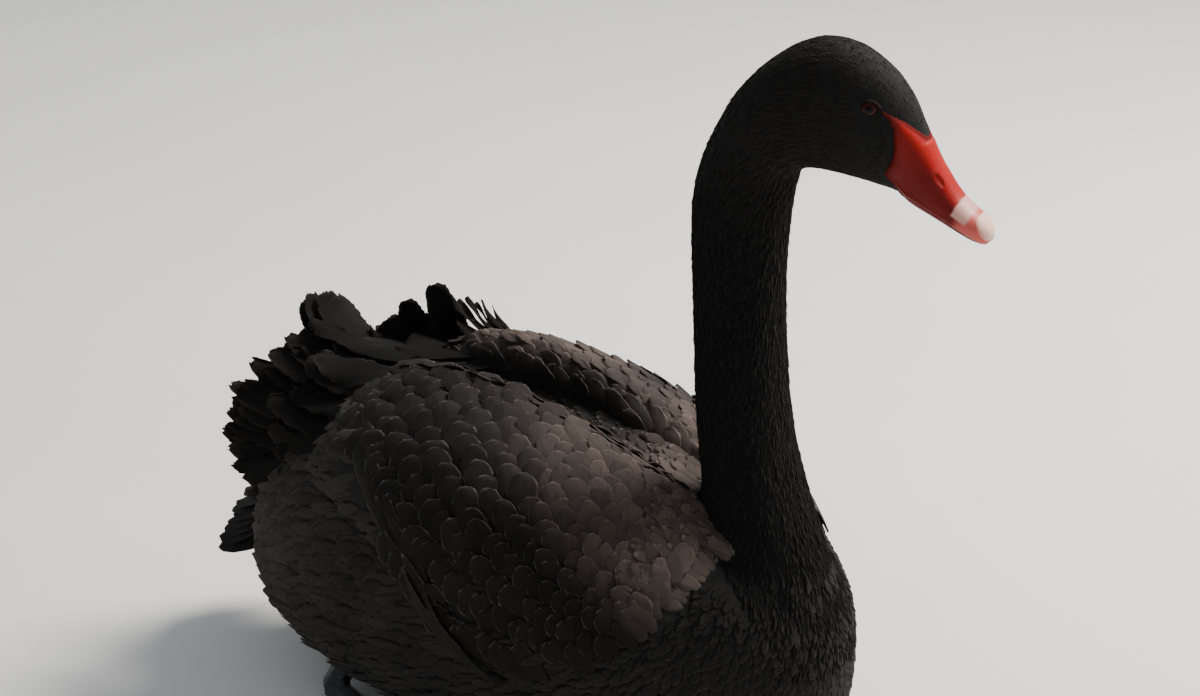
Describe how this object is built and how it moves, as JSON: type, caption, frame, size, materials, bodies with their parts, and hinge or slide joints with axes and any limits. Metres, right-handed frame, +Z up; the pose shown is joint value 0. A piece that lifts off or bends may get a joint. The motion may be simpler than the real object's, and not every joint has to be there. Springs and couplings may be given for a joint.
{
  "type": "black swan",
  "caption": "Life-size black swan sitting on its belly with folded wings, upright curved neck, head turned slightly left and a red bill.",
  "frame": {"origin": "on the floor, in the middle of the flat of the belly", "axes": "the bird faces -Y, its left side is +X, and +Z is up"},
  "size_m": [0.2711, 0.551, 0.4762],
  "materials": {
    "plumage": "soft black feathers, matt",
    "wing_plumage": "brown-black feathers with paler rims",
    "tail_plumage": "black flight feathers, slight sheen",
    "bill_red": "waxy red horn, satin",
    "bill_nail": "pale pink horn, satin",
    "eye": "wet gloss",
    "leg_skin": "scaled grey-black skin"
  },
  "bodies": {
    "root": {"torso": "plumage", "neck_lower": "plumage", "neck_middle": "plumage", "neck_upper": "plumage", "head": "plumage", "bill_upper": "bill_red", "bill_lower": "bill_red", "bill_nail": "bill_nail", "eye_right": "eye", "eye_left": "eye", "wing_right": "wing_plumage", "wing_left": "wing_plumage", "leg_right": "leg_skin", "leg_left": "leg_skin", "foot_right": "leg_skin", "foot_left": "leg_skin", "tail": "tail_plumage"}
  },
  "joints": []
}
